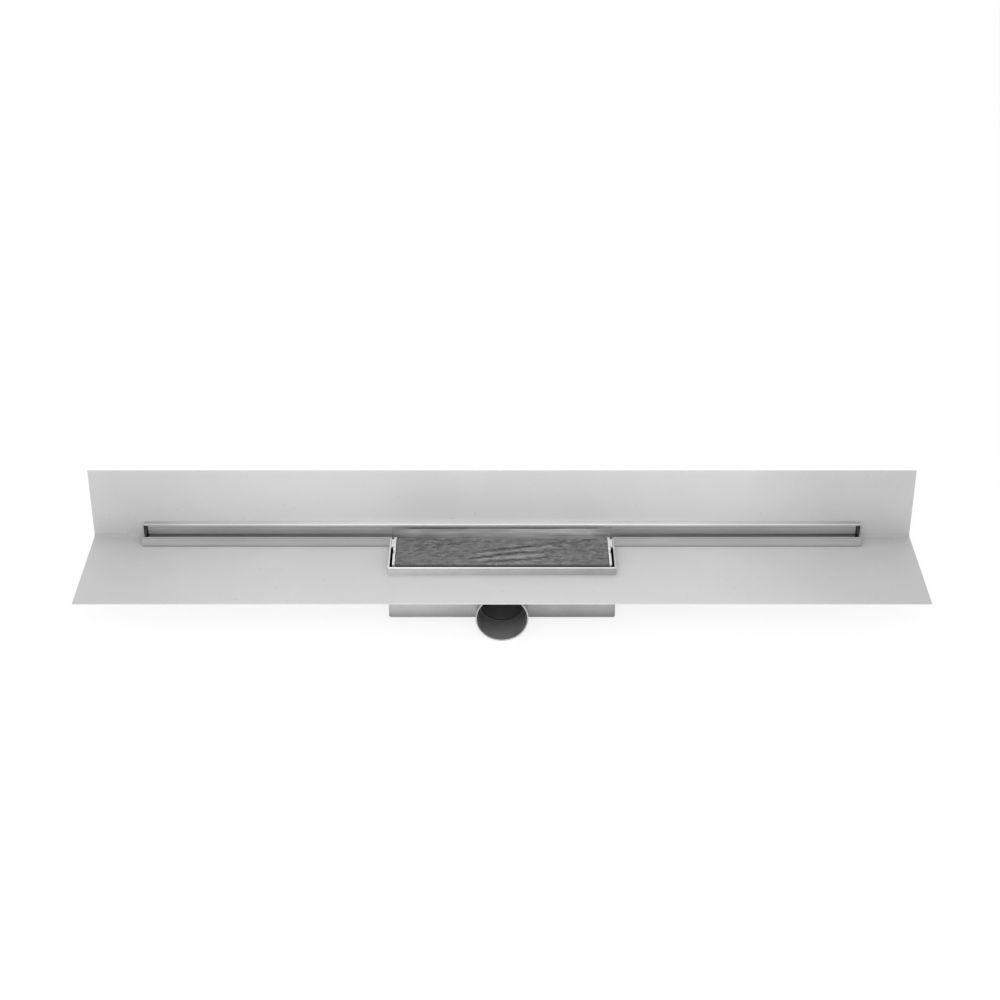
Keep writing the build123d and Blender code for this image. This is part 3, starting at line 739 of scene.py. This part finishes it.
def close_slot_ends(form):
    """Adds a web to the flange at each end of the slot, behind the channel's back wall, under its ledge."""
    low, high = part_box("wall_flange")
    front = SLOT_BACK + SHEET
    top = LEDGE_TOP - SHEET
    size = Vector((WEB_THICKNESS, high.y - front, top - low.z))
    for side in (-1, 1):
        web = bmesh.ops.create_cube(form, size=1.0)["verts"]
        bmesh.ops.scale(form, vec=size, verts=web)
        place = (side * (SLOT_END - WEB_THICKNESS / 2), (high.y + front) / 2, (top + low.z) / 2)
        bmesh.ops.translate(form, vec=place, verts=web)
        at_fold = [
            edge
            for edge in {e for vert in web for e in vert.link_edges}
            if all(abs(v.co.y - high.y) < MERGE and abs(v.co.z - low.z) < MERGE for v in edge.verts)
        ]
        round_edges(form, at_fold, width=WEB_CORNER, segments=6)


def on_flush_joint(edge):
    """Whether an edge runs along the joint of the flange's sheets or of the channel's lengths."""
    ends = [vert.co for vert in edge.verts]
    in_flange = all(abs(end.y - FLANGE_JOINT) < MERGE and end.z < FLOOR_FACE + MERGE for end in ends)
    in_channel = all(abs(abs(end.x) - CHANNEL_JOINT) < MERGE and end.y > BACK_PLATE_FACE for end in ends)
    return in_flange or in_channel


def smooth_sheet(node, change=None):
    """A merged copy of a sheet-metal node with smooth folds and slightly rounded cut edges."""
    form = bmesh.new()
    form.from_mesh(frame["nodes"][node].data)
    bmesh.ops.remove_doubles(form, verts=form.verts, dist=MERGE)
    if change:
        change(form)
    bmesh.ops.dissolve_limit(
        form, angle_limit=FLAT_ANGLE, verts=form.verts, edges=form.edges, delimit={"NORMAL"}
    )
    for face in form.faces:
        face.smooth = True
    weight = form.edges.layers.float.new("bevel_weight_edge")
    for edge in form.edges:
        edge.smooth = is_soft(edge, FOLD_ANGLE)
        edge[weight] = 0.0 if edge.smooth or on_flush_joint(edge) else 1.0
    piece = add_piece(node + "_sheet", form, node)
    rounding = piece.modifiers.new("cut_edges", "BEVEL")
    rounding.limit_method = "WEIGHT"
    rounding.width = EDGE_ROUND
    rounding.segments = 2
    rounding.use_clamp_overlap = True
    shading = piece.modifiers.new("flat_shading", "WEIGHTED_NORMAL")
    shading.mode = "FACE_AREA"
    shading.keep_sharp = True


def cut_grid(form, low, size):
    """Cuts the tile's upper face into a fine grid, for its relief."""
    for axis in (Vector((1, 0, 0)), Vector((0, 1, 0))):
        start, span = low.dot(axis), size.dot(axis)
        count = int(span / TILE_GRID)
        for index in range(1, count):
            faces = [face for face in form.faces if face.normal.z > 0.9]
            edges = {edge for face in faces for edge in face.edges}
            cut = axis * (start + index * span / count)
            bmesh.ops.bisect_plane(
                form, geom=faces + list(edges), plane_co=cut, plane_no=axis, dist=CUT_SLACK
            )


def grain_place(place, grain):
    """A place in the measure of a grain: how fine it is along X and Y, and its layer of the noise."""
    return Vector((place.x * grain[0], place.y * grain[1], grain[2]))


def riven_tile():
    """The slate tile: a slab with a riven face, worn corners and a flat back."""
    low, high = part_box("cover_tile")
    size = high - low
    form = bmesh.new()
    bmesh.ops.create_cube(form, size=1.0)
    bmesh.ops.scale(form, vec=size, verts=form.verts)
    bmesh.ops.translate(form, vec=TILE_MIDDLE, verts=form.verts)
    uprights = [e for e in form.edges if abs(e.verts[0].co.z - e.verts[1].co.z) > size.z / 2]
    round_edges(form, uprights, width=TILE_CORNER, segments=3)
    rims = [e for e in form.edges if abs(e.verts[0].co.z - e.verts[1].co.z) < CUT_SLACK]
    round_edges(form, rims, width=TILE_RIM, segments=2)
    cut_grid(form, low, size)
    for vert in form.verts:
        if vert.co.z < high.z - MERGE:
            continue
        inset = min(vert.co.x - low.x, high.x - vert.co.x, vert.co.y - low.y, high.y - vert.co.y)
        off_rim = max(0.0, min(1.0, (inset - TILE_RIM) / TILE_RIM_FADE))
        ridge = noise.fractal(grain_place(vert.co - TILE_MIDDLE, RIDGE_GRAIN), *RIDGE_OCTAVES)
        flake = noise.noise(grain_place(vert.co, FLAKE_GRAIN))
        drop = RIDGE_DEPTH * (1 - ridge) / 2 + FLAKE_DEPTH * (1 - flake) / 2
        vert.co.z -= max(0.0, drop) * off_rim
    for face in form.faces:
        face.smooth = True
    for edge in form.edges:
        edge.smooth = is_soft(edge, TILE_CREASE)
    bmesh.ops.recalc_face_normals(form, faces=form.faces)
    add_piece("riven_tile", form, "cover_tile")


# Stage, light and camera


def make_floor():
    """A pale floor under the pan, seen from above only, that keeps the shadow."""
    form = bmesh.new()
    bmesh.ops.create_grid(form, x_segments=1, y_segments=1, size=FLOOR_SIZE)
    bmesh.ops.translate(form, vec=(0, 0, FLOOR_LEVEL), verts=form.verts)
    mesh = bpy.data.meshes.new("floor")
    form.to_mesh(mesh)
    form.free()
    floor = bpy.data.objects.new("floor", mesh)
    scene.collection.objects.link(floor)
    finish = bpy.data.materials.new("pale_floor")
    finish.use_nodes = True
    tree = finish.node_tree
    tree.nodes.clear()
    straight, mirrored = seen_rays(tree)
    shade = ramp(tree, straight, 0, 1, FLOOR_BOUNCE, FLOOR_SHADE)
    shade = add_where(tree, shade, mirrored, FLOOR_MIRRORED_SHADE - FLOOR_BOUNCE)
    matte = put(tree, "ShaderNodeBsdfDiffuse", {"Color": shade}).outputs[0]
    glow = plus(tree, times(tree, straight, FLOOR_LIFT), times(tree, mirrored, FLOOR_MIRRORED_LIFT))
    lift = put(tree, "ShaderNodeEmission", {"Color": (1, 1, 1, 1), "Strength": glow}).outputs[0]
    pale = put(tree, "ShaderNodeAddShader", {0: matte, 1: lift}).outputs[0]
    clear = put(tree, "ShaderNodeBsdfTransparent").outputs[0]
    under = put(tree, "ShaderNodeNewGeometry").outputs["Backfacing"]
    one_sided = put(tree, "ShaderNodeMixShader", {0: under, 1: pale, 2: clear}).outputs[0]
    put(tree, "ShaderNodeOutputMaterial", {"Surface": one_sided})
    floor.data.materials.append(finish)


def white_light(tree, level):
    return put(tree, "ShaderNodeBackground", {"Color": (1, 1, 1, 1), "Strength": level}).outputs[0]


def make_room():
    """White studio: an even level for matte surfaces, and for metal a white room with a greyer front."""
    world = scene.world or bpy.data.worlds.new("room")
    scene.world = world
    world.use_nodes = True
    tree = world.node_tree
    tree.nodes.clear()
    way = put(tree, "ShaderNodeTexCoord").outputs["Generated"]
    axes = put(tree, "ShaderNodeSeparateXYZ", {0: way}).outputs
    front = ramp(tree, axes["Y"], *STUDIO_DEPTH, 1.0, 0.0, soft=True)
    low = ramp(tree, axes["Z"], *STUDIO_HEIGHT, soft=True)
    dusk = times(tree, front, low)
    side = ramp(tree, away_from_middle(tree, axes), *STUDIO_SIDES, soft=True)
    studio = ramp(tree, dusk, 0, 1, STUDIO_TOP, STUDIO_FRONT)
    studio = add_where(tree, studio, side, -STUDIO_SIDE_LOSS)
    even = ramp(tree, axes["Y"], *ROOM_DEPTH, ROOM_FRONT, ROOM_BACK, soft=True)
    even = add_where(tree, even, dusk, ROOM_LOW_FRONT)
    seen = plus(tree, *seen_rays(tree), clamp=True)
    rooms = {0: seen, 1: white_light(tree, even), 2: white_light(tree, studio)}
    mixed = put(tree, "ShaderNodeMixShader", rooms).outputs[0]
    put(tree, "ShaderNodeOutputWorld", {"Surface": mixed})


def make_key():
    """A soft lamp in front of the drain, which metal doesn't mirror."""
    lamp = bpy.data.lights.new("key", "AREA")
    lamp.shape = "SQUARE"
    lamp.size = KEY_SIZE
    lamp.energy = KEY_WATTS
    key = bpy.data.objects.new("key", lamp)
    scene.collection.objects.link(key)
    key.visible_glossy = False
    key.location = KEY_PLACE
    way = Vector(KEY_TARGET) - Vector(KEY_PLACE)
    key.rotation_euler = way.to_track_quat("-Z", "Y").to_euler()


def make_camera():
    lens = bpy.data.cameras.new("camera")
    lens.sensor_width = CAMERA_SENSOR
    lens.lens = CAMERA_LENS
    lens.clip_start = CAMERA_NEAR
    lens.clip_end = CAMERA_FAR
    camera = bpy.data.objects.new("camera", lens)
    camera.location = CAMERA_PLACE
    camera.rotation_euler = (math.radians(90 - CAMERA_PITCH), 0, 0)
    scene.collection.objects.link(camera)
    scene.camera = camera


make_camera()
make_floor()
make_room()
make_key()
scene.view_settings.view_transform = "Standard"

for node, obj in frame["nodes"].items():
    give_finish(obj, node)

smooth_sheet("wall_flange", change=close_slot_ends)
for node in (
    "floor_flange",
    "channel_left",
    "channel_right",
    "channel_middle",
    "box_shell",
    "box_front_plate",
    "sump_pan",
    "outlet_pipe",
):
    smooth_sheet(node)
smooth_sheet("cover_tray", change=shape_tray_walls)
riven_tile()
